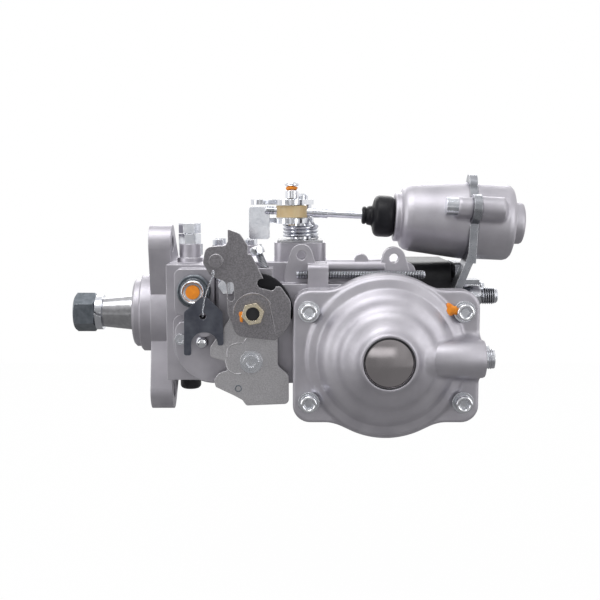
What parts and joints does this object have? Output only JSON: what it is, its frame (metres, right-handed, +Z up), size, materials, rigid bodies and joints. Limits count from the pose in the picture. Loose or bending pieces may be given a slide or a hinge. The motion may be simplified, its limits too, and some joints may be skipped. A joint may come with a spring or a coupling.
{
  "type": "diesel injection pump",
  "caption": "Distributor diesel injection pump with a tapered drive shaft, lobed mounting flange, governor cover with throttle lever, boost compensator and cold-start actuator",
  "frame": {"origin": "centre of the mounting flange's front face, on the drive shaft's axis", "axes": "X along the drive shaft with the drive end at minus X, minus Y towards the governor cover, Z up"},
  "size_m": [0.3117, 0.1925, 0.1656],
  "materials": {
    "cast_aluminium": "as cast, fine grain",
    "dark_head": "black, satin",
    "zinc_steel": "bright zinc",
    "ground_steel": "ground",
    "lever_steel": "dull grey plate",
    "yellow_zinc": "yellow zinc",
    "bush_bronze": "turned bronze",
    "black_rubber": "matt",
    "gasket_sheet": "matt",
    "nylon": "natural nylon",
    "orange_plastic": "matt"
  },
  "bodies": {
    "housing": {"pump_housing": "cast_aluminium", "governor_cover": "cast_aluminium", "boost_cover": "cast_aluminium", "actuator_front": "cast_aluminium", "actuator_rear": "cast_aluminium", "timing_covers": "cast_aluminium", "distributor_head": "dark_head", "port_cap": "dark_head", "shutoff_solenoid": "dark_head", "casting_screws": "zinc_steel", "delivery_fittings": "zinc_steel", "adjusting_screws": "zinc_steel", "cover_fixings": "zinc_steel", "core_plug": "zinc_steel", "boost_port_stub": "zinc_steel", "fuel_inlet_union": "zinc_steel", "valves": "zinc_steel", "lock_bolt": "zinc_steel", "start_base_plate": "zinc_steel", "torsion_spring": "zinc_steel", "actuator_bracket": "zinc_steel", "actuator_screws": "zinc_steel", "tag_wire": "zinc_steel", "feed_pump_ring": "ground_steel", "governor_pins": "ground_steel", "plunger_return_springs": "ground_steel", "bracket_plate": "lever_steel", "seal_tag": "lever_steel", "drive_bush": "bush_bronze", "boot": "black_rubber", "shaft_seal": "black_rubber", "boost_diaphragm": "black_rubber", "cover_gasket": "gasket_sheet", "transport_plug": "orange_plastic"},
    "drive": {"drive_shaft": "ground_steel", "spring_washer": "zinc_steel", "shaft_nut": "zinc_steel", "feed_pump_rotor": "ground_steel", "governor_drive_gear": "ground_steel"},
    "cam": {"cam_plate": "ground_steel", "distributor_plunger": "ground_steel"},
    "bridge": {"spring_bridge": "ground_steel"},
    "carrier": {"flyweight_carrier": "ground_steel"},
    "weight_1": {"flyweight_1": "ground_steel"},
    "weight_2": {"flyweight_2": "ground_steel"},
    "sleeve": {"governor_sleeve": "ground_steel"},
    "lever": {"governor_lever": "ground_steel"},
    "collar": {"spill_collar": "ground_steel"},
    "ring": {"roller_ring": "ground_steel", "rollers_and_pins": "ground_steel"},
    "piston": {"timing_piston": "ground_steel"},
    "throttle": {"throttle_shaft": "ground_steel", "throttle_lever": "lever_steel", "throttle_nut": "yellow_zinc"},
    "boost": {"boost_pin": "ground_steel"},
    "armature": {"solenoid_armature": "ground_steel"},
    "rod": {"pull_rod": "zinc_steel", "swivel": "nylon", "clamp_screw": "zinc_steel"},
    "start": {"start_lever": "zinc_steel"}
  },
  "joints": [
    {"name": "drive_spin", "type": "hinge", "parent": "housing", "child": "drive", "pos_m": [0, 0, 0], "axis": [1, 0, 0], "continuous": true},
    {"name": "plunger_slide", "type": "slide", "parent": "drive", "child": "cam", "axis": [1, 0, 0], "range_m": [-0.0022, 0], "stiffness_N_per_m": 4000, "deforming": ["plunger_return_springs"]},
    {"name": "bridge_slide", "type": "slide", "parent": "housing", "child": "bridge", "axis": [1, 0, 0], "range_m": [-0.0023, 0]},
    {"name": "carrier_spin", "type": "hinge", "parent": "housing", "child": "carrier", "pos_m": [0, -0.05, 0], "axis": [1, 0, 0], "continuous": true},
    {"name": "sleeve_slide", "type": "slide", "parent": "housing", "child": "sleeve", "axis": [1, 0, 0], "range_m": [0, 0.00168], "stiffness_N_per_m": 500, "springref_m": -0.004},
    {"name": "weight_1_swing", "type": "hinge", "parent": "carrier", "child": "weight_1", "pos_m": [0.0423, -0.0387, 0], "axis": [0, 0, 1], "range_deg": [0, 20.1]},
    {"name": "weight_2_swing", "type": "hinge", "parent": "carrier", "child": "weight_2", "pos_m": [0.0423, -0.0613, 0], "axis": [0, 0, -1], "range_deg": [0, 20.1]},
    {"name": "lever_turn", "type": "hinge", "parent": "housing", "child": "lever", "pos_m": [0.112, -0.036, 0], "axis": [0, 0, 1], "range_deg": [0, 7.1]},
    {"name": "collar_slide", "type": "slide", "parent": "housing", "child": "collar", "axis": [1, 0, 0], "range_m": [-0.0031, 0]},
    {"name": "ring_turn", "type": "hinge", "parent": "housing", "child": "ring", "pos_m": [0.0525, 0, 0], "axis": [1, 0, 0], "range_deg": [-4.7, 4.7], "stiffness_Nm_per_rad": 20},
    {"name": "piston_slide", "type": "slide", "parent": "housing", "child": "piston", "axis": [0, 0, 1], "range_m": [-0.0041, 0.0041]},
    {"name": "throttle_turn", "type": "hinge", "parent": "housing", "child": "throttle", "pos_m": [0.0726, -0.094, 0.0106], "axis": [0, 1, 0], "range_deg": [0, 45], "stiffness_Nm_per_rad": 0.15, "springref_deg": -34.38},
    {"name": "boost_slide", "type": "slide", "parent": "housing", "child": "boost", "axis": [0, 1, 0], "range_m": [0, 0.005], "stiffness_N_per_m": 800, "springref_m": -0.003},
    {"name": "armature_slide", "type": "slide", "parent": "housing", "child": "armature", "axis": [0, 0, 1], "range_m": [0, 0.002], "stiffness_N_per_m": 300, "springref_m": -0.002},
    {"name": "rod_slide", "type": "slide", "parent": "housing", "child": "rod", "axis": [0.9986, 0, -0.0523], "range_m": [-0.008, 0], "stiffness_N_per_m": 300, "springref_m": 0.01, "deforming": ["boot", "torsion_spring"]},
    {"name": "start_turn", "type": "hinge", "parent": "housing", "child": "start", "pos_m": [0.102, -0.014, 0.066], "axis": [0, 0, 1], "range_deg": [-18, 0]}
  ],
  "couplings": [
    {"joint": "carrier_spin", "follows": "drive_spin", "ratio": -1.5},
    {"joint": "bridge_slide", "follows": "plunger_slide", "ratio": 1},
    {"joint": "weight_1_swing", "follows": "sleeve_slide", "rad_per_m": 207.78},
    {"joint": "weight_2_swing", "follows": "sleeve_slide", "rad_per_m": 207.78},
    {"joint": "lever_turn", "follows": "sleeve_slide", "rad_per_m": 72.203},
    {"joint": "collar_slide", "follows": "sleeve_slide", "ratio": -1.8},
    {"joint": "piston_slide", "follows": "ring_turn", "m_per_rad": 0.049},
    {"joint": "start_turn", "follows": "rod_slide", "rad_per_m": 37.57}
  ]
}
